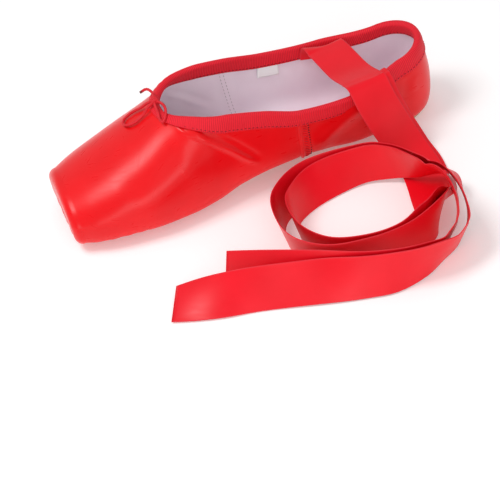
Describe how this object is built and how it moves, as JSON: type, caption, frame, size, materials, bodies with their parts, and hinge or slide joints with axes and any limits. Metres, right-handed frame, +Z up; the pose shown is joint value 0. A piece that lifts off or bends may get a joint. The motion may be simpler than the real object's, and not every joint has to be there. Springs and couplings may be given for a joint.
{
  "type": "pointe shoe",
  "caption": "Red satin pointe shoe with a stiff flat-tipped toe box, bound drawstring collar with a small bow, short leather sole and long loose ankle ribbons.",
  "frame": {"origin": "middle of the shoe's box on the floor, measured without the ribbons and the bow", "axes": "+X to the toe, +Y to the shoe's left seen from behind the heel, +Z up"},
  "size_m": [0.232, 0.1854, 0.0645],
  "materials": {
    "satin": "glossy red satin with a lengthwise sheen",
    "sole_leather": "matt split leather",
    "lining": "pale plain-weave cotton",
    "binding": "ribbed crimson tape",
    "label": "bare white tape",
    "ribbon": "glossy red satin ribbon",
    "drawstring": "twisted red cord"
  },
  "bodies": {
    "root": {"upper": "satin", "outsole": "sole_leather", "insole": "lining", "collar_binding": "binding", "size_label": "label", "ribbon_far": "ribbon", "ribbon_near": "ribbon", "bow_knot": "drawstring", "bow_loop_wide": "drawstring", "bow_loop_narrow": "drawstring", "bow_end": "drawstring"}
  },
  "joints": []
}
